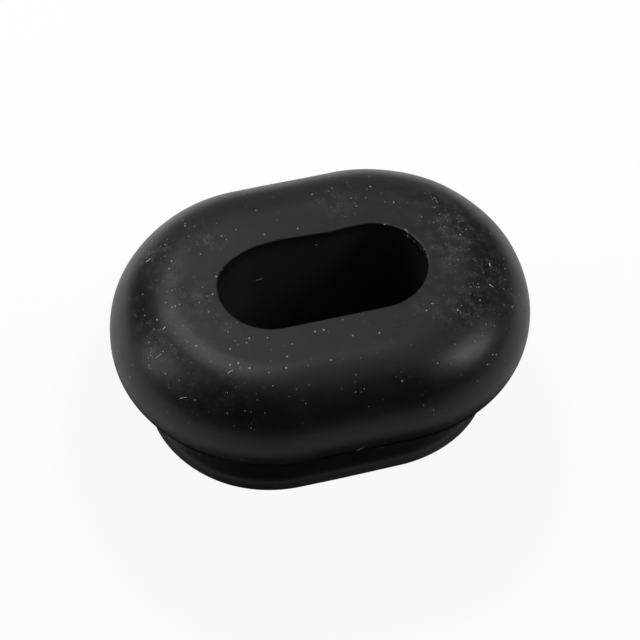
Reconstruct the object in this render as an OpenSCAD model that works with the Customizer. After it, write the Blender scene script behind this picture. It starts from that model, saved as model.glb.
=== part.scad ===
// Oval rubber hole plug, moulded in one piece: a crowned flange, a neck that fills the panel's hole,
// a rounded lip that snaps through the hole, and a blind pocket that lets the plug squeeze.
// It is one section swept round an oval path: a straight run along X with a half turn at each end.
// Millimetres, +Z up. The origin is the centre of the foot that the plug stands on.

/* [Oval] */
// Straight run between the centres of the two round ends
straight_run = 8.2; // [2:0.2:30]

/* [Flange] */
// Width of the flange across the straight run
flange_w = 25; // [23:0.5:40]
// Thickness of the flange from its underside to its flat top
flange_t = 7.1; // [4:0.1:12]
// Radius of the crown that rounds the top into the side
crown_r = 5.4; // [1:0.1:7]
// Radius of the flange's lower outer edge
skirt_r = 1.4; // [0.5:0.1:2.8]

/* [Neck] */
// Width of the neck, which is the width of the panel's oval hole
neck_w = 16; // [13:0.5:18]
// Height of the straight neck, which is the thickest panel it takes
panel_t = 3.4; // [0.8:0.1:5]
// Radius of the fillet between the neck and the flange
root_r = 0.4; // [0.1:0.05:0.8]

/* [Lip] */
// Width of the lip at its widest
lip_w = 19.6; // [18.6:0.2:22]
// Radius of the lip's shoulder, above its widest line
lip_r = 1.5; // [0.4:0.1:2.5]
// Radius of the lip's nose, below its widest line
nose_r = 0.6; // [0.2:0.1:1.5]
// Height of the lead-in, from the foot to the lip's widest line
lead_t = 2.3; // [1.4:0.1:4]

/* [Pocket] */
// Width of the pocket
pocket_w = 8.1; // [5:0.1:10]
// Thickness of rubber left under the pocket
floor_t = 2.6; // [1.2:0.1:5]
// Radius between the pocket's wall and its floor
floor_r = 1.6; // [0.4:0.1:2.4]
// Radius of the pocket's rim
rim_r = 0.25; // [0.1:0.05:0.6]

/* [Hidden] */
$fn = 96;

rubber = [0.045, 0.045, 0.047];

// Least upright band between the crown and the flange's lower edge
band_t = 0.2;
crown = min(crown_r, flange_t - skirt_r - band_t);

// How far a cut runs past the face that it opens
cut_over = 1;

// How far the lip stands out from the neck
overhang = (lip_w - neck_w) / 2;
// Ways that the lip's two slopes face: the flank four out for three up, the lead-in three out for four down
flank_face = [0.8, 0.6];
lead_face = [0.6, -0.8];
// The flank's own line, at twice the overhang, so that it ends inside the neck
flank_climb = 2 * overhang * [-flank_face.y, flank_face.x];
// Rise from the lip's widest line, round its shoulder and up the flank, to the neck
shoulder_in = lip_r * (1 - flank_face.x);
flank_rise = micron(lip_r * flank_face.y + (overhang - shoulder_in) * flank_face.x / flank_face.y);
// Half width of the foot, where the lead-in ends: the nose and the slope below it lie further in
nose_in = nose_r * (1 - lead_face.x);
slope_in = (lead_t + nose_r * lead_face.y) * -lead_face.y / lead_face.x;
foot_half = micron(lip_w / 2 - nose_in - slope_in);

// Heights above the foot
lip_z = lead_t;
flange_z = lip_z + flank_rise + panel_t;
top_z = flange_z + flange_t;

// A length to the nearest thousandth, so that heights made from it still meet
function micron(length) = round(length * 1000) / 1000;

// Quarter of a disc, in the corner between +X and +Y
module quarter(r) {
    intersection() {
        circle(r);
        square(r);
    }
}

// Part of a disc between two ways that are less than half a turn apart
module sector(r, from, to) {
    intersection() {
        circle(r);
        polygon(2 * r * [[0, 0], from, from + to, to]);
    }
}

// Half section of a slab, from the path out to half_w, with its two outer corners rounded
module slab(half_w, low, high, low_r, high_r) {
    straight = high - low - low_r - high_r;
    if (straight > 0) translate([0, low + low_r]) square([half_w, straight]);
    if (low_r > 0) {
        translate([0, low]) square([half_w - low_r, low_r]);
        translate([half_w - low_r, low + low_r]) mirror([0, 1]) quarter(low_r);
    }
    if (high_r > 0) {
        translate([0, high - high_r]) square([half_w - high_r, high_r]);
        translate([half_w - high_r, high - high_r]) quarter(high_r);
    }
}

module flange_section() {
    slab(flange_w / 2, flange_z, top_z, skirt_r, crown);
}

// The neck and the fillet under the flange
module neck_section() {
    slab(neck_w / 2, lip_z, flange_z, 0, 0);
    translate([neck_w / 2, flange_z - root_r])
        difference() {
            square(root_r);
            translate([root_r, 0]) mirror([1, 0]) quarter(root_r);
        }
}

// The lip: a lead-in that slopes up from the foot, a nose, a shoulder, and a flank that climbs to the neck
module lip_section() {
    nose = [lip_w / 2 - nose_r, lip_z];
    shoulder = [lip_w / 2 - lip_r, lip_z];
    flank_foot = shoulder + lip_r * flank_face;
    flank_head = flank_foot + flank_climb;
    polygon([[0, 0], [foot_half, 0], nose + nose_r * lead_face, nose, [0, lip_z]]);
    translate(nose) sector(nose_r, lead_face, [1, 0]);
    translate(shoulder) sector(lip_r, [1, 0], flank_face);
    polygon([[flank_head.x, lip_z], shoulder, flank_foot, flank_head]);
}

// Half of the moulding's cross-section
module section() {
    difference() {
        union() {
            flange_section();
            neck_section();
            lip_section();
        }
        slab(pocket_w / 2, floor_t, top_z + cut_over, floor_r, 0);
        translate([0, top_z - rim_r]) square([pocket_w / 2 + rim_r, rim_r + cut_over]);
    }
    translate([pocket_w / 2 + rim_r, top_z - rim_r]) mirror([1, 0]) quarter(rim_r);
}

// Sweeps a half section round the oval path
module oval_sweep() {
    translate([-straight_run / 2, 0, 0])
        rotate([90, 0, 90])
            linear_extrude(straight_run) {
                children();
                mirror([1, 0]) children();
            }
    for (side = [0, 180])
        rotate([0, 0, side])
            translate([straight_run / 2, 0, 0])
                rotate([0, 0, -90])
                    rotate_extrude(angle = 180) children();
}

// The whole moulding
module plug() {
    color(rubber) oval_sweep() section();
}

plug();
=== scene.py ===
"""Looks of the oval rubber hole plug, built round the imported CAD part."""

import math

import bmesh
import bpy
import numpy as np
from mathutils import Matrix, Vector
from mathutils.bvhtree import BVHTree


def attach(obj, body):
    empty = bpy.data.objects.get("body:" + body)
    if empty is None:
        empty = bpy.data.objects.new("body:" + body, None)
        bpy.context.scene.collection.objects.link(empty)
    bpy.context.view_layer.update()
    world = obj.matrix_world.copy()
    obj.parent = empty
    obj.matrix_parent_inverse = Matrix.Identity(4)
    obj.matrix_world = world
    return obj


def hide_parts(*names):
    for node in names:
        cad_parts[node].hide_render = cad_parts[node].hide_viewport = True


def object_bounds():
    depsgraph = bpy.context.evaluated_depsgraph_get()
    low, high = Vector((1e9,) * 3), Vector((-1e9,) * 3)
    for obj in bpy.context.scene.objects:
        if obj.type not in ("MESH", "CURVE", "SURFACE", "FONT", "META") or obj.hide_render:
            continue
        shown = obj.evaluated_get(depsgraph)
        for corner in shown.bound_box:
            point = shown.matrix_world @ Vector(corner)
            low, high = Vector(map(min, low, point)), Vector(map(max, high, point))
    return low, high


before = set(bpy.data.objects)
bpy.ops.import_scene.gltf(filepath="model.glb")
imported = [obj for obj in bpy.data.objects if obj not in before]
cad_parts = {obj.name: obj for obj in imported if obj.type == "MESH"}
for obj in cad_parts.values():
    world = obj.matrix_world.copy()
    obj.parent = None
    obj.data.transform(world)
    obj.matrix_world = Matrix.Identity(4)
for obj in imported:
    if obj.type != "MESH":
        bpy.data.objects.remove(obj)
cad_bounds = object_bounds()

MM = 0.001

# The photo's camera, in degrees: round from the plug's short side, up from the table, and rolled
PHOTO_AZ, PHOTO_EL, PHOTO_ROLL = -17.56, 53.31, 2.51
# Its lens, sensor and distance, and how far right and up of the picture's middle the plug stands, in mm
LENS, SENSOR, CAMERA_AWAY = 148.05, 36.0, 206.3
OFF_RIGHT, OFF_UP = 0.055, 0.212

# Half section of the moulding, in mm: distance out from the oval's middle line, and height above the foot
BOX = [round(side / MM, 3) for side in cad_bounds[1]]
FLANGE_R, TOP_Z = BOX[1], BOX[2]
HALF_RUN = BOX[0] - FLANGE_R
FLANGE_T, CROWN_R, SKIRT_R = 7.1, 5.4, 1.4
NECK_R, ROOT_R = 8.0, 0.4
LIP_R, LIP_Z, SHOULDER_R, NOSE_R = 9.8, 2.3, 1.5, 0.6
POCKET_R, FLOOR_Z, FLOOR_FILLET = 4.05, 2.6, 1.6
# A little sharper than the solid's rim, which the photo shows as a thin line
RIM_R = 0.16
# Ways that the lip's two slopes face, out and up
FLANK_FACE, LEAD_FACE = (0.8, 0.6), (0.6, -0.8)

FLANGE_Z = TOP_Z - FLANGE_T
CROWN_FOOT = TOP_Z - CROWN_R
RIM_OUT = POCKET_R + RIM_R
NOSE = (LIP_R - NOSE_R, LIP_Z)
SHOULDER = (LIP_R - SHOULDER_R, LIP_Z)
LEAD_HEAD = (NOSE[0] + NOSE_R * LEAD_FACE[0], LIP_Z + NOSE_R * LEAD_FACE[1])
FOOT_R = LEAD_HEAD[0] + LEAD_HEAD[1] * LEAD_FACE[1] / LEAD_FACE[0]
FLANK_FOOT = (SHOULDER[0] + SHOULDER_R * FLANK_FACE[0], LIP_Z + SHOULDER_R * FLANK_FACE[1])
FLANK_HEAD = (NECK_R, FLANK_FOOT[1] + (FLANK_FOOT[0] - NECK_R) * FLANK_FACE[0] / FLANK_FACE[1])

# Steps of the mesh round each end and along each straight side
TURN_STEPS, SIDE_STEPS = 116, 22

# Where the pocket's mouth is out of true, in mm: place on its rim, reach, and shift outwards
SWAYS = [
    ((8.2, 0.5), 3.2, 0.15),
    ((1.5, 4.1), 1.1, -0.12),
    ((-5.6, 3.8), 1.5, -0.19),
    ((-2.2, 4.1), 1.2, 0.08),
]
# Where the torn flash in the mouth is widest, in mm: place on its rim, reach, and share of the full width
TORN = [
    ((7.6, 1.6), 2.2, 1.0),
    ((-6.6, 2.6), 1.6, 0.7),
]
# Dusty patches on the head, in mm: place, reach, and how many crumbs lie there
DUSTY = [
    ((-13.5, -3.0, 15.0), 2.0, 22),
    ((-12.2, 6.0, 15.0), 1.6, 8),
    ((-9.4, 0.2, 15.7), 1.2, 7),
    ((-7.6, 5.4, 15.7), 1.2, 4),
    ((2.8, 6.5, 15.7), 1.6, 6),
    ((9.6, -0.4, 15.7), 1.3, 10),
    ((11.4, 2.4, 15.6), 2.0, 9),
    ((12.8, -2.0, 15.4), 1.1, 7),
    ((9.4, -5.8, 15.6), 1.8, 8),
    ((14.0, -5.0, 13.8), 1.6, 9),
    ((3.4, -9.8, 14.9), 0.7, 4),
    ((5.5, -12.0, 12.3), 0.8, 3),
    ((-8.4, -10.3, 13.8), 0.6, 3),
    ((-7.7, -3.0, 15.7), 0.9, 5),
    ((2.2, -4.8, 15.7), 0.8, 2),
    ((6.4, -4.6, 15.7), 0.9, 4),
]
# Small groups of single crumbs all over the head, and how far in mm each group spreads
GROUPS, GROUP_REACH = 60, 0.5
# Radius in mm of the least crumb, and what the largest has more
CRUMB_R, CRUMB_MORE = 0.024, 0.042
# Lint on the head and on the pocket's back wall, in mm and degrees: its middle, its heading in the photo,
# up from the right, its length, and how far it turns on its way
LINT = [
    ((-12.5, 5.3, 15.0), 34, 0.45, 20),
    ((-12.9, -1.7, 15.4), 45, 0.35, 10),
    ((-13.8, -3.6, 14.6), 25, 0.6, 20),
    ((-12.8, -7.2, 13.8), 6, 0.62, 10),
    ((-9.1, -6.9, 15.5), 50, 0.5, -15),
    ((12.4, -3.9, 15.3), -33, 0.42, 5),
    ((12.9, -2.0, 15.4), 92, 0.35, 0),
    ((-0.4, -12.5, 9.95), 35, 0.65, 0),
    ((-3.97, 4.05, 11.33), 8, 0.6, 15),
    ((0.63, 4.05, 14.36), -15, 0.2, 0),
]
# A hair that hooks over the pocket's rim
HAIR = [
    (7.4, 2.85, 15.68),
    (7.52, 2.63, 15.72),
    (7.59, 2.37, 15.64),
    (7.54, 2.28, 15.5),
    (7.45, 2.2, 15.35),
]
LINT_R, HAIR_R = 0.03, 0.022

# Painted shade on the floor round the plug, in mm: where it is dark, where it ends, and how far it lies to
# the front
SHADE_DARK, SHADE_END, SHADE_AHEAD = 18, 23, 4
# How much closer it lies at the plug's ends
SHADE_SQUEEZE = 1.25


def arc(centre, r, start, end, steps):
    """Points round a centre, from one angle to another."""
    a = np.radians(np.linspace(start, end, steps + 1))
    return np.array(centre) + r * np.column_stack([np.cos(a), np.sin(a)])


def run(p, q, steps, bunch=0.0):
    """Points from p to q; bunch above 0 crowds them towards both ends."""
    t = np.linspace(0, 1, steps + 1)
    t = (1 - bunch) * t + bunch * t * t * (3 - 2 * t)
    return np.array(p) + t[:, None] * (np.array(q) - np.array(p))


def section():
    """Points of the half section, the way each faces, and the part that follows each point."""
    lead_angle = math.degrees(math.atan2(LEAD_FACE[1], LEAD_FACE[0]))
    flank_angle = math.degrees(math.atan2(FLANK_FACE[1], FLANK_FACE[0]))
    root = (NECK_R + ROOT_R, FLANGE_Z - ROOT_R)
    skirt = (FLANGE_R - SKIRT_R, FLANGE_Z + SKIRT_R)
    crown = (FLANGE_R - CROWN_R, CROWN_FOOT)
    rim = (RIM_OUT, TOP_Z - RIM_R)
    fillet = (POCKET_R - FLOOR_FILLET, FLOOR_Z + FLOOR_FILLET)
    parts = [
        ("foot", run((0, 0), (FOOT_R, 0), 14, 0.8)),
        ("lip", run((FOOT_R, 0), LEAD_HEAD, 8, 0.9)),
        ("lip", arc(NOSE, NOSE_R, lead_angle, 0, 10)),
        ("lip", arc(SHOULDER, SHOULDER_R, 0, flank_angle, 10)),
        ("lip", run(FLANK_FOOT, FLANK_HEAD, 12, 0.9)),
        ("lip", run(FLANK_HEAD, (NECK_R, root[1]), 8, 0.9)),
        ("lip", arc(root, ROOT_R, 180, 90, 6)),
        ("lip", run((root[0], FLANGE_Z), (skirt[0], FLANGE_Z), 12, 0.8)),
        ("head", arc(skirt, SKIRT_R, -90, 0, 24)),
        ("head", run((FLANGE_R, skirt[1]), (FLANGE_R, CROWN_FOOT), 2)),
        ("head", arc(crown, CROWN_R, 0, 90, 52)),
        ("head", run((crown[0], TOP_Z), (RIM_OUT, TOP_Z), 22, 0.8)),
        ("rim", arc(rim, RIM_R, 90, 180, 16)),
        ("wall", run((POCKET_R, rim[1]), (POCKET_R, fillet[1]), 44, 0.8)),
        ("floor", arc(fillet, FLOOR_FILLET, 0, -90, 10)),
        ("floor", run((fillet[0], FLOOR_Z), (0, FLOOR_Z), 6)),
    ]
    points, labels = [parts[0][1][:1]], []
    for label, part in parts:
        points.append(part[1:])
        labels += [label] * (len(part) - 1)
    points = np.vstack(points)
    along = np.gradient(points, axis=0)
    facing = np.column_stack([along[:, 1], -along[:, 0]])
    return points, facing / np.linalg.norm(facing, axis=1)[:, None], labels


def stations():
    """Centre x and outward direction of each station round the oval, from the right end's front."""
    a = np.radians(np.linspace(-90, 90, TURN_STEPS + 1))
    x = np.linspace(HALF_RUN, -HALF_RUN, SIDE_STEPS + 1)[1:-1]
    right = np.column_stack([np.full(len(a), HALF_RUN), np.cos(a), np.sin(a)])
    back = np.column_stack([x, np.zeros(len(x)), np.ones(len(x))])
    return np.vstack([right, back, -right, -back])


def swept(points, facing, ring):
    """Place and outward direction of each section point at each station."""
    cx, ux, uy = (ring[:, k][:, None] for k in range(3))
    shape = (len(ring), len(points))
    z, up = np.broadcast_to(points[:, 1], shape), np.broadcast_to(facing[:, 1], shape)
    places = np.stack([cx + points[:, 0] * ux, points[:, 0] * uy, z], -1)
    return places, np.stack([facing[:, 0] * ux, facing[:, 0] * uy, up], -1)


def waves(points, seed, longest, shortest, count=28):
    """Smooth seeded noise, about -1 to 1: a sum of waves in all directions."""
    rng = np.random.default_rng(seed)
    total = np.zeros(points.shape[:-1])
    for _ in range(count):
        way = rng.normal(size=3)
        way /= np.linalg.norm(way)
        length = longest * (shortest / longest) ** rng.random()
        total += np.sin(points @ way * (2 * math.pi / length) + rng.uniform(0, 2 * math.pi))
    return total / math.sqrt(count / 2) / 1.6


def near(points, centre, reach):
    """1 at a centre, fading to 0 at about twice the reach."""
    return np.exp(-((np.linalg.norm(points - np.array(centre), axis=-1) / reach) ** 2))


def along_rim(rim, spots):
    """Sum of the amounts of a few spots on the pocket's rim, each fading with its reach."""
    return sum(amount * near(rim, (*place, TOP_Z), reach) for place, reach, amount in spots)


def unevenness(places):
    """Slow rise and fall of the moulding's surface, none on the foot."""
    height, clear_of_foot = 0.022, 1.5
    swell = waves(places, seed=3, longest=14, shortest=5)
    return height * swell * np.clip(places[..., 2] / clear_of_foot, 0, 1)


def mouth_sway(points, ring):
    """Shift of each place near the pocket's mouth, which is a little out of true."""
    fade_out, fade_down = 1.2, 3.0
    level = np.zeros(len(ring))
    ways = np.column_stack([ring[:, 1:], level])
    rim = RIM_OUT * ways + np.column_stack([ring[:, 0], level, level + TOP_Z])
    past_rim, depth = np.clip(points[:, 0] - RIM_OUT, 0, None), TOP_Z - points[:, 1]
    share = np.exp(-((past_rim / fade_out) ** 2) - (depth / fade_down) ** 2)
    return along_rim(rim, SWAYS)[:, None, None] * share[:, None] * ways[:, None, :]


def rim_flash(places, ring, labels):
    """Shift of each place for the torn flash in the mouth: a ledge below the rim, and a ragged edge."""
    least, widest, ragged, lifted = 0.04, 0.15, 0.03, 0.25
    # Where the two lie along the section, in mesh steps below the rim, and how far they spread
    ledge_at, ledge_spread, edge_at, edge_spread = 3, 1.2, -6, 3.0
    first, steps = labels.index("rim"), labels.count("rim")
    rim = places[:, first + steps // 2]
    torn = 0.4 + 0.6 * np.abs(waves(rim, seed=11, longest=2.4, shortest=0.45))
    ledge = (least + widest * np.clip(along_rim(rim, TORN), 0, 1)) * torn
    edge = ragged * np.abs(waves(rim, seed=17, longest=1.2, shortest=0.3))
    below = np.arange(places.shape[1]) - first - steps
    ledge = ledge[:, None] * np.exp(-(((below - ledge_at) / ledge_spread) ** 2))
    edge = edge[:, None] * np.exp(-(((below - edge_at) / edge_spread) ** 2))
    inward = np.stack([-ring[:, 1], -ring[:, 2], np.full(len(ring), lifted)], -1)[:, None, :]
    return ledge[..., None] * inward + edge[..., None] * np.array((0, 0, 1))


def dust_cover(places, up):
    """Share of settled dust, 0 to 1: most in the patches, on the round ends and on what faces up."""
    end_from, end_over, high_from, high_over = 5, 6, 9, 5
    ends = np.clip((np.abs(places[..., 0]) - end_from) / end_over, 0, 1)
    high = np.clip((places[..., 2] - high_from) / high_over, 0, 1)
    cover = (0.26 + 0.36 * ends) * (0.25 + 0.75 * np.clip(up, 0, 1)) * (0.3 + 0.7 * high)
    for centre, reach, _ in DUSTY:
        cover = cover + 0.5 * near(places, centre, reach)
    return np.clip(cover, 0, 1)


def dust_and_painted_light_shares(places, out, labels):
    """Shares of settled dust and of painted grey light at each place, 0 to 1."""
    mouth_depth, seen_depth, lip_fade = 1.2, 11.0, 0.9
    inside = np.array([label in ("wall", "floor") for label in labels] + [True])
    depth = TOP_Z - places[..., 2]
    hollow = np.where(inside, np.clip(depth / mouth_depth, 0, 1), 0)
    dust = dust_cover(places, out[..., 2]) * (1 - 0.8 * hollow)
    # Painted light: in the pocket the grey is least on the end walls and most deep down; outside, a painted
    # reflection greys the lip from its shoulder down
    deep = np.clip(depth / seen_depth, 0, 1)
    pocket_light = (1 - 0.75 * np.abs(out[..., 0])) * (0.26 * hollow + 0.6 * deep**1.5)
    lip_light = np.clip((FLANK_FOOT[1] + 0.1 - places[..., 2]) / lip_fade, 0, 1)
    return dust, np.where(inside, pocket_light, 0.9 * lip_light)


def flat_layout(points, labels, ring, places):
    """Gives a function for the spot of a face's corner on the square sheet of the baked maps, from 0 to 1."""
    sheet, margin, gap = 72.0, 1.0, 0.5
    # The lip and the head lie in two strips each, true to length at a set radius; the wall lies in one
    strip_r, wall_share = 13.0, 0.55
    beside_x, middle_y = 64.5, {"foot": 16.0, "floor": 45.0}
    lengths = np.concatenate([[0], np.cumsum(np.linalg.norm(np.diff(points, axis=0), axis=1))])
    start = {label: lengths[labels.index(label)] for label in dict.fromkeys(labels)}
    loop = np.vstack([ring, ring[:1]])
    path = np.column_stack([loop[:, 0] + strip_r * loop[:, 1], strip_r * loop[:, 2]])
    step = np.concatenate([[0], np.cumsum(np.linalg.norm(np.diff(path, axis=0), axis=1))])
    half_way = step[len(ring) // 2]
    lip_tall = start["head"] - start["lip"] + gap
    head_tall = start["wall"] - start["head"] + gap
    strips = {"lip": (gap, lip_tall), "head": (gap + 2 * lip_tall, head_tall)}
    wall_y = gap + 2 * lip_tall + 2 * head_tall

    def spot(i, j, label, second):
        if label in middle_y:
            # The foot and the floor lie flat beside the strips
            p = places[i % len(ring), j]
            x, y = beside_x + p[1], middle_y[label] + p[0]
        elif label == "wall":
            x, y = margin + wall_share * step[i], wall_y + lengths[j] - start["wall"]
        else:
            label = "head" if label == "rim" else label
            low, tall = strips[label]
            x = margin + step[i] - (half_way if second else 0)
            y = low + lengths[j] - start[label] + (tall if second else 0)
        return x / sheet, y / sheet

    return spot


def welded(places):
    """Number of each place's vertex, and the places used: on the middle line, places that meet share one."""
    n, m = places.shape[:2]
    index = np.arange(n * m).reshape(n, m)
    for j in (0, m - 1):
        seen = {}
        for i in range(n):
            key = round(float(places[i, j, 0]), 3)
            index[i, j] = seen.setdefault(key, index[i, j])
    used = np.unique(index)
    number = np.full(n * m, -1)
    number[used] = np.arange(len(used))
    return number[index], used


def faces_of(index, labels, spot):
    """Faces between the stations, and the spot of each of their corners."""
    n, m = index.shape
    faces, spots = [], []
    for i in range(n):
        for j in range(m - 1):
            corners = {}
            for a, b in [(i, j), (i + 1, j), (i + 1, j + 1), (i, j + 1)]:
                corners.setdefault(index[a % n, b], (a, b))
            if len(corners) > 2:
                faces.append(list(corners))
                spots += [spot(a, b, labels[j], i >= n // 2) for a, b in corners.values()]
    return faces, spots


def add_object(name, data):
    ob = bpy.data.objects.new(name, data)
    bpy.context.scene.collection.objects.link(ob)
    return ob


def make_plug():
    """The moulding, with its maps' layout, its shares of dust and its painted grey light."""
    points, facing, labels = section()
    ring = stations()
    places, out = swept(points, facing, ring)
    spot = flat_layout(points, labels, ring, places)
    dust, grey = dust_and_painted_light_shares(places, out, labels)
    places = places + out * unevenness(places)[..., None] + mouth_sway(points, ring)
    places = places + rim_flash(places, ring, labels)
    index, used = welded(places)
    faces, spots = faces_of(index, labels, spot)

    mesh = bpy.data.meshes.new("plug_rubber")
    mesh.from_pydata((places.reshape(-1, 3)[used] * MM).tolist(), [], faces)
    mesh.polygons.foreach_set("use_smooth", [True] * len(faces))
    uv = mesh.uv_layers.new(name="OFBake")
    uv.data.foreach_set("uv", np.array(spots, dtype=np.float32).ravel())
    for name, values in (("dust", dust), ("grey", grey)):
        attribute = mesh.attributes.new(name, "FLOAT", "POINT")
        attribute.data.foreach_set("value", values.reshape(-1)[used].astype(np.float32))
    mesh.validate()
    mesh.update()
    return add_object("plug_rubber", mesh)


def towards(azimuth, elevation):
    """Unit vector to a place round the plug: azimuth 0 is behind it in the photo, 90 to its right."""
    a, e = math.radians(azimuth - PHOTO_AZ), math.radians(elevation)
    return Vector((math.sin(a) * math.cos(e), math.cos(a) * math.cos(e), math.sin(e)))


def photo_axes():
    """Ways to the right, up and back to the camera, as the photo shows them."""
    roll = math.radians(PHOTO_ROLL)
    back, level = towards(180, PHOTO_EL), towards(90, 0)
    right = level * math.cos(roll) + back.cross(level) * math.sin(roll)
    return right, back.cross(right), back


def crumb(bm, place, normal, radius, rng):
    """Irregular grain of dust, sunk a little into the rubber."""
    turn = normal.to_track_quat("Z", "Y").to_matrix()
    squash = Matrix.Diagonal(rng.uniform((0.7, 0.7, 0.45), (1.3, 1.3, 0.8)))
    for vert in bmesh.ops.create_icosphere(bm, subdivisions=1, radius=radius)["verts"]:
        vert.co = place + turn @ (squash @ (vert.co * rng.uniform(0.8, 1.2))) + normal * radius * 0.2


def add_crumbs(bm, mesh, tree):
    """Crumbs in the dusty patches, and single ones in small groups all over the head."""
    rng = np.random.default_rng(seed=21)
    least_slope = 0.05

    def drop(place, spread):
        offset = rng.normal(0, 0.5 * spread, 3)
        foot, normal, *_ = tree.find_nearest(Vector(place) + Vector(offset))
        if normal.z > least_slope:
            crumb(bm, foot, normal, CRUMB_R + CRUMB_MORE * rng.random() ** 2.6, rng)

    for place, reach, count in DUSTY:
        for _ in range(count):
            drop(place, reach)
    dust = np.empty(len(mesh.vertices), dtype=np.float32)
    mesh.attributes["dust"].data.foreach_get("value", dust)
    weights = np.array([f.area * max(f.normal.z, 0) * dust[f.vertices[0]] for f in mesh.polygons])
    centres = [face.center / MM for face in mesh.polygons]
    for face in rng.choice(len(centres), GROUPS, p=weights / weights.sum()):
        for _ in range(rng.integers(1, 4)):
            drop(centres[face], GROUP_REACH)


def thread(bm, centres, radius, sides=5):
    """Thin tube through the centres, tapered to its ends."""
    rings = []
    last = len(centres) - 1
    for i, centre in enumerate(centres):
        ahead = (centres[min(i + 1, last)] - centres[max(i - 1, 0)]).normalized()
        side = ahead.orthogonal().normalized()
        r = radius * (1 - 0.6 * abs(2 * i / last - 1) ** 3)
        turns = [Matrix.Rotation(2 * math.pi * k / sides, 3, ahead) for k in range(sides)]
        rings.append([bm.verts.new(centre + turn @ side * r) for turn in turns])
    for low, high in zip(rings, rings[1:]):
        # Match the start of the next ring, so that the tube doesn't twist
        near_first = min(range(sides), key=lambda k: (high[k].co - low[0].co).length)
        high[:] = high[near_first:] + high[:near_first]
        for k in range(sides):
            bm.faces.new((low[k], low[(k + 1) % sides], high[(k + 1) % sides], high[k]))
    bm.faces.new(rings[0][::-1])
    bm.faces.new(rings[-1])


def lie(tree, place, heading, length, turn, steps=10):
    """Centres of a fibre that lies on the rubber."""
    right, up, _ = photo_axes()
    place, heading = Vector(place), math.radians(heading)
    centres = []
    for step in range(-1, steps + 1):
        foot, normal, *_ = tree.find_nearest(place)
        ahead = right * math.cos(heading) + up * math.sin(heading)
        ahead = (ahead - normal * ahead.dot(normal)).normalized()
        if step < 0:
            # From the middle back to the start
            place = foot - ahead * length / 2
            continue
        centres.append(foot + normal * LINT_R * 0.5)
        place = foot + ahead * (length / steps)
        heading += math.radians(turn) / steps
    return centres


def smooth_line(points, steps):
    """Points along a curve through a few places."""
    points = np.array(points)
    at = np.linspace(0, len(points) - 1, steps + 1)
    line = np.column_stack([np.interp(at, range(len(points)), points[:, k]) for k in range(3)])
    for _ in range(3):
        line[1:-1] = (line[:-2] + 2 * line[1:-1] + line[2:]) / 4
    return [Vector(p) for p in line]


def make_dirt(plug):
    """Crumbs of dust and lint that lie on the plug, as one piece."""
    corners = [vert.co / MM for vert in plug.data.vertices]
    tree = BVHTree.FromPolygons(corners, [face.vertices[:] for face in plug.data.polygons])
    bm = bmesh.new()
    add_crumbs(bm, plug.data, tree)
    dust_faces = len(bm.faces)
    for place, heading, length, turn in LINT:
        thread(bm, lie(tree, place, heading, length, turn), LINT_R)
    thread(bm, smooth_line(HAIR, 14), HAIR_R)

    bm.faces.ensure_lookup_table()
    for face in bm.faces[dust_faces:]:
        face.material_index = 1
        face.smooth = True
    bmesh.ops.recalc_face_normals(bm, faces=bm.faces)
    bmesh.ops.scale(bm, vec=(MM, MM, MM), verts=bm.verts)
    mesh = bpy.data.meshes.new("dust_and_lint")
    bm.to_mesh(mesh)
    bm.free()
    return add_object("dust_and_lint", mesh)


class Nodes:
    """Short way to build a node tree."""

    def __init__(self, tree):
        self.tree = tree
        tree.nodes.clear()

    def add(self, kind, links=None, **settings):
        node = self.tree.nodes.new(kind)
        for name, value in settings.items():
            setattr(node, name, value)
        for name, value in (links or {}).items():
            if isinstance(value, bpy.types.NodeSocket):
                self.tree.links.new(value, node.inputs[name])
            else:
                node.inputs[name].default_value = value
        return node

    def math(self, operation, a, b=0.0):
        return self.add("ShaderNodeMath", {0: a, 1: b}, operation=operation).outputs[0]

    def ramp(self, value, low, high, to_low=0.0, to_high=1.0):
        node = self.add("ShaderNodeMapRange", {0: value, 1: low, 2: high, 3: to_low, 4: to_high})
        node.interpolation_type = "SMOOTHSTEP"
        return node.outputs[0]

    def mix(self, share, a, b):
        return self.add("ShaderNodeMix", {0: share, 6: a, 7: b}, data_type="RGBA").outputs[2]

    def noise(self, where, scale, detail=3.0, roughness=0.5):
        links = {"Vector": where, "Scale": scale, "Detail": detail, "Roughness": roughness}
        return self.add("ShaderNodeTexNoise", links).outputs["Fac"]

    def place_in_mm(self):
        here = self.add("ShaderNodeTexCoord").outputs["Object"]
        return self.add("ShaderNodeVectorMath", {0: here, "Scale": 1 / MM}, operation="SCALE").outputs[0]

    def attribute(self, name):
        return self.add("ShaderNodeAttribute", attribute_name=name).outputs["Fac"]

    def seen_by_camera(self):
        return self.add("ShaderNodeLightPath").outputs["Is Camera Ray"]

    def finish(self, shader, kind="ShaderNodeOutputMaterial"):
        self.add(kind, {0: shader.outputs[0]})


def new_material(name):
    material = bpy.data.materials.new(name)
    material.use_nodes = True
    return material, Nodes(material.node_tree)


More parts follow.
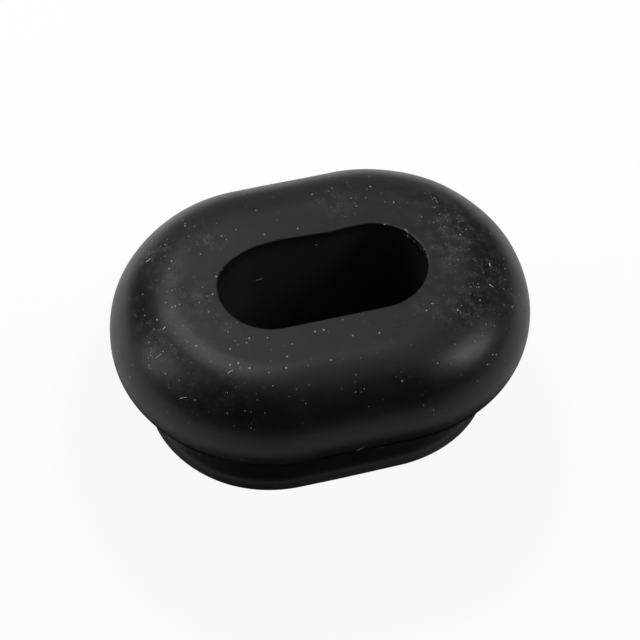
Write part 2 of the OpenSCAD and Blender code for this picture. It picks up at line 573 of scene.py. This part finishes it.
def rubber_material():
    """Satin black rubber with a fine grain, painted grey light in the pocket and on the lip, a violet-grey
    bloom and specks of dust.
    """
    black, painted_light_grey = (0.0035, 0.0035, 0.0036, 1), (0.065, 0.065, 0.066, 1)
    bloom = (0.032, 0.031, 0.041, 1)
    dull_speck, pale_speck = (0.03, 0.03, 0.032, 1), (0.22, 0.22, 0.225, 1)
    material, k = new_material("black_rubber")
    here, cover = k.place_in_mm(), k.attribute("dust")
    mottle = k.noise(here, 0.45, 4.0, 0.55)
    grain = k.noise(here, 3.2, 5.0, 0.6)

    thick = k.math("MULTIPLY", k.math("POWER", cover, 2.0), 1.3)
    cloud = k.math("MULTIPLY", k.ramp(k.noise(here, 1.1, 5.0, 0.6), 0.44, 0.62), thick)
    bloomed = k.math("MULTIPLY", cloud, k.ramp(k.noise(here, 7.0, 3.0, 0.6), 0.42, 0.66, 0.15, 1.1))

    # A speck in some of the cells, in more of them where dust lies thick
    cells = k.add("ShaderNodeTexVoronoi", {"Vector": here, "Scale": 3.0, "Randomness": 1.0})
    pick = k.add("ShaderNodeSeparateColor", {0: cells.outputs["Color"]})
    chosen = k.math("LESS_THAN", pick.outputs[0], k.math("MULTIPLY", cover, 0.6))
    size = k.ramp(pick.outputs[1], 0.0, 1.0, 0.08, 0.24)
    speck = k.math("MULTIPLY", chosen, k.math("LESS_THAN", cells.outputs["Distance"], size))
    speck_tone = k.mix(k.math("POWER", pick.outputs[2], 3.0), dull_speck, pale_speck)

    # Painted light: grey deep in the pocket, and a painted reflection on the lower lip
    colour = k.mix(k.attribute("grey"), black, painted_light_grey)
    colour = k.mix(bloomed, colour, bloom)
    colour = k.mix(speck, colour, speck_tone)
    rough = k.math("ADD", k.ramp(mottle, 0.3, 0.7, 0.33, 0.39), k.math("MULTIPLY", bloomed, 0.12))
    bump = k.add("ShaderNodeBump", {"Height": grain, "Strength": 0.35, "Distance": 1.2e-5})
    links = {"Base Color": colour, "Roughness": rough, "IOR": 1.5, "Normal": bump.outputs[0]}
    k.finish(k.add("ShaderNodeBsdfPrincipled", links))
    return material


def dirt_material(name, dark, light, roughness):
    """Matt dust or lint, uneven in tone."""
    material, k = new_material(name)
    here = k.place_in_mm()
    colour = k.mix(k.ramp(k.noise(here, 1.7, 2.0), 0.35, 0.65), (*dark, 1), (*light, 1))
    bump = k.add("ShaderNodeBump", {"Height": k.noise(here, 20.0), "Strength": 0.5, "Distance": 1e-5})
    links = {"Base Color": colour, "Roughness": roughness, "Normal": bump.outputs[0]}
    k.finish(k.add("ShaderNodeBsdfPrincipled", links))
    return material


def floor_material():
    """White to the camera, with a trace of the shadow; to the rubber a pale table with painted shade close
    round the plug.
    """
    white, pale, shaded = (1, 1, 1, 1), (0.5, 0.5, 0.5, 1), (0.005, 0.005, 0.005, 1)
    white_share = 0.94
    material, k = new_material("floor")
    here = k.add("ShaderNodeTexCoord").outputs["Object"]
    ahead = k.add("ShaderNodeVectorMath", {0: here, 1: towards(0, 0) * SHADE_AHEAD * MM}, operation="ADD")
    where = k.add("ShaderNodeSeparateXYZ", {0: ahead.outputs[0]})
    past_end = k.math("SUBTRACT", k.math("ABSOLUTE", where.outputs[0]), HALF_RUN * MM)
    past_end = k.math("MULTIPLY", k.math("MAXIMUM", past_end, 0.0), SHADE_SQUEEZE)
    off = k.add("ShaderNodeCombineXYZ", {0: past_end, 1: where.outputs[1]})
    off = k.add("ShaderNodeVectorMath", {0: off.outputs[0]}, operation="LENGTH").outputs["Value"]
    # Painted shade: the table's tone falls to near black close round the plug, reaching further to the front
    # and less far at the ends
    tone = k.mix(k.ramp(off, SHADE_DARK * MM, SHADE_END * MM), shaded, pale)
    matt = k.add("ShaderNodeBsdfDiffuse", {"Color": tone})
    glow = k.add("ShaderNodeEmission", {"Color": white, "Strength": 1.0})
    share = k.math("MULTIPLY", k.seen_by_camera(), white_share)
    k.finish(k.add("ShaderNodeMixShader", {0: share, 1: matt.outputs[0], 2: glow.outputs[0]}))
    return material


def make_floor():
    """Wide flat floor under the plug."""
    half = 2
    mesh = bpy.data.meshes.new("floor")
    corners = [(-half, -half, 0), (half, -half, 0), (half, half, 0), (-half, half, 0)]
    mesh.from_pydata(corners, [], [(0, 1, 2, 3)])
    mesh.materials.append(floor_material())
    floor = add_object("floor", mesh)


def softbox(name, azimuth, elevation, distance, width, height, radiance, colour=(1, 1, 1), aim=(0, 0, 0)):
    """Area lamp that faces its aim, which stands that many metres to the right, behind and up."""
    lamp = bpy.data.lights.new(name, "AREA")
    lamp.shape = "RECTANGLE"
    lamp.size, lamp.size_y = width, height
    lamp.energy = radiance * math.pi * width * height
    lamp.color = colour
    ob = add_object(name, lamp)
    ob.location = towards(azimuth, elevation) * distance
    target = towards(90, 0) * aim[0] + towards(0, 0) * aim[1] + Vector((0, 0, aim[2]))
    ob.rotation_euler = (ob.location - target).to_track_quat("Z", "Y").to_euler()
    ob.visible_camera = False
    return ob


def make_lamps():
    """Soft lamps, each with azimuth, elevation, distance, width, height and radiance."""
    softbox("key", -39, 62, 0.6, 0.30, 0.30, 2.5)
    softbox("right", 96, 37, 0.6, 0.16, 0.26, 5.2, colour=(1.0, 0.97, 0.93))
    softbox("back", -12, 26, 0.8, 1.0, 0.6, 0.33)
    softbox("left", -97, 29, 0.8, 0.26, 0.6, 2.1)
    softbox("side", 62, 28, 0.8, 0.6, 0.7, 0.09)
    softbox("top", 36, 75, 0.8, 0.9, 0.6, 0.42)
    # Three light the table, two from its sides and one from above; they don't show in the rubber's gloss
    softbox("table_left", -80, 27, 0.22, 0.1, 0.1, 5.0).visible_glossy = False
    softbox("table_right", 90, 27, 0.22, 0.1, 0.1, 4.6).visible_glossy = False
    sweep = softbox("sweep", -20, 58, 0.19, 0.24, 0.06, 2.3, aim=(-0.02, 0.06, 0))
    sweep.visible_glossy = False
    sweep.data.spread = math.radians(70)


def make_world():
    """White behind the floor, and nearly black to the rubber."""
    faint = 0.02
    world = bpy.data.worlds.new("studio")
    world.use_nodes = True
    bpy.context.scene.world = world
    k = Nodes(world.node_tree)
    level = k.math("ADD", k.math("MULTIPLY", k.seen_by_camera(), 1 - faint), faint)
    sky = k.add("ShaderNodeBackground", {"Color": (1, 1, 1, 1), "Strength": level})
    k.finish(sky, "ShaderNodeOutputWorld")


def make_camera():
    """Camera that sees the plug as the photo does."""
    camera = bpy.data.cameras.new("camera")
    camera.sensor_width, camera.lens = SENSOR, LENS
    camera.clip_start = 0.005
    right, up, back = photo_axes()
    aim = Vector((0, 0, CROWN_FOOT)) - OFF_RIGHT * right - OFF_UP * up
    ob = add_object("camera", camera)
    ob.location = (aim + back * CAMERA_AWAY) * MM
    ob.rotation_euler = Matrix((right, up, back)).transposed().to_euler()
    bpy.context.scene.camera = ob


plug = make_plug()
plug.data.materials.append(rubber_material())
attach(plug, "root")
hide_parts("plug")

dirt = make_dirt(plug)
dirt.data.materials.append(dirt_material("pale_dust", (0.09, 0.09, 0.1), (0.32, 0.32, 0.335), 0.9))
dirt.data.materials.append(dirt_material("lint", (0.26, 0.25, 0.23), (0.5, 0.49, 0.46), 0.7))
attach(dirt, "root")

make_floor()
make_lamps()
make_world()
make_camera()
bpy.context.scene.view_settings.view_transform = "Standard"
